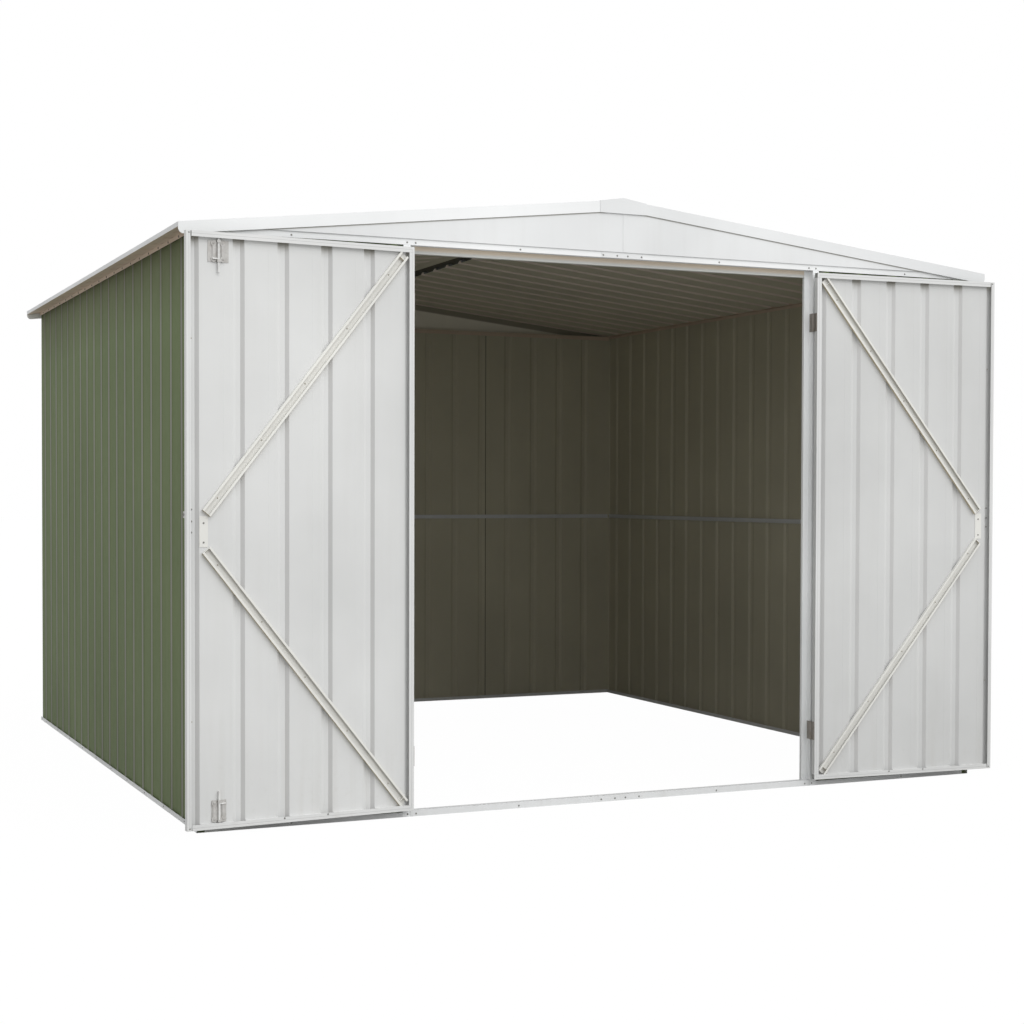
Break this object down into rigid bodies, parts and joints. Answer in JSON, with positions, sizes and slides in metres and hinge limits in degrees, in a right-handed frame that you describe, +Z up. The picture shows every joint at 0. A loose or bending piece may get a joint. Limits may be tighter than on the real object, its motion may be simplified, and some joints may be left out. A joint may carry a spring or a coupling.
{
  "type": "metal storage shed",
  "caption": "Walk-in garden shed of ribbed painted steel sheet with a low gable roof, white folded trims and a pair of braced, hinged doors that stand open.",
  "frame": {"origin": "bottom centre of the box around the shed with its doors standing open", "axes": "+Z up, the doorway faces -Y, +X to the right seen from the front"},
  "size_m": [3.117, 3.107, 2.0935],
  "materials": {
    "green_sheet": "satin olive green paint outside, off-white inside",
    "white_sheet": "satin off-white paint",
    "white_trim": "satin off-white paint",
    "zinc_steel": "dull zinc plating"
  },
  "bodies": {
    "shed": {"base_left": "white_trim", "base_right": "white_trim", "base_back": "white_trim", "base_front_left": "white_trim", "base_front_right": "white_trim", "door_sill": "white_trim", "left_wall": "green_sheet", "right_wall": "green_sheet", "back_wall": "green_sheet", "front_left_wall": "green_sheet", "front_right_wall": "green_sheet", "left_jamb": "white_trim", "right_jamb": "white_trim", "top_channel_left": "white_trim", "top_channel_right": "white_trim", "top_channel_back": "white_trim", "header": "white_trim", "door_stop": "white_trim", "left_rail": "white_trim", "right_rail": "white_trim", "back_rail": "white_trim", "front_gable": "white_sheet", "back_gable": "white_sheet", "front_join_plate": "white_trim", "back_join_plate": "white_trim", "front_barge_left": "white_trim", "front_barge_right": "white_trim", "back_barge_left": "white_trim", "back_barge_right": "white_trim", "front_apex_cap": "white_trim", "back_apex_cap": "white_trim", "left_roof": "white_sheet", "right_roof": "white_sheet", "left_eave": "white_trim", "right_eave": "white_trim", "ridge_cap": "white_trim", "left_jamb_hinges": "zinc_steel", "right_jamb_hinges": "zinc_steel"},
    "left_door": {"left_door_panel": "green_sheet", "left_door_frame": "white_trim", "left_door_braces": "white_trim", "left_door_hinges": "zinc_steel", "bolt_brackets": "zinc_steel", "left_door_keeper": "zinc_steel"},
    "right_door": {"right_door_panel": "green_sheet", "right_door_frame": "white_trim", "right_door_braces": "white_trim", "right_door_hinges": "zinc_steel", "right_door_lock": "zinc_steel"},
    "top_bolt": {"top_bolt": "zinc_steel"},
    "bottom_bolt": {"bottom_bolt": "zinc_steel"}
  },
  "joints": [
    {"name": "left_door_hinge", "type": "hinge", "parent": "shed", "child": "left_door", "pos_m": [-0.781, -1.46029, 0.9505], "axis": [0, 0, 1], "range_deg": [-2.5, 175]},
    {"name": "right_door_hinge", "type": "hinge", "parent": "shed", "child": "right_door", "pos_m": [0.781, -1.46029, 0.9505], "axis": [0, 0, -1], "range_deg": [0, 177.5]},
    {"name": "top_bolt_slide", "type": "slide", "parent": "left_door", "child": "top_bolt", "axis": [0, 0, 1], "range_m": [0, 0.045]},
    {"name": "bottom_bolt_slide", "type": "slide", "parent": "left_door", "child": "bottom_bolt", "axis": [0, 0, -1], "range_m": [0, 0.036]}
  ]
}
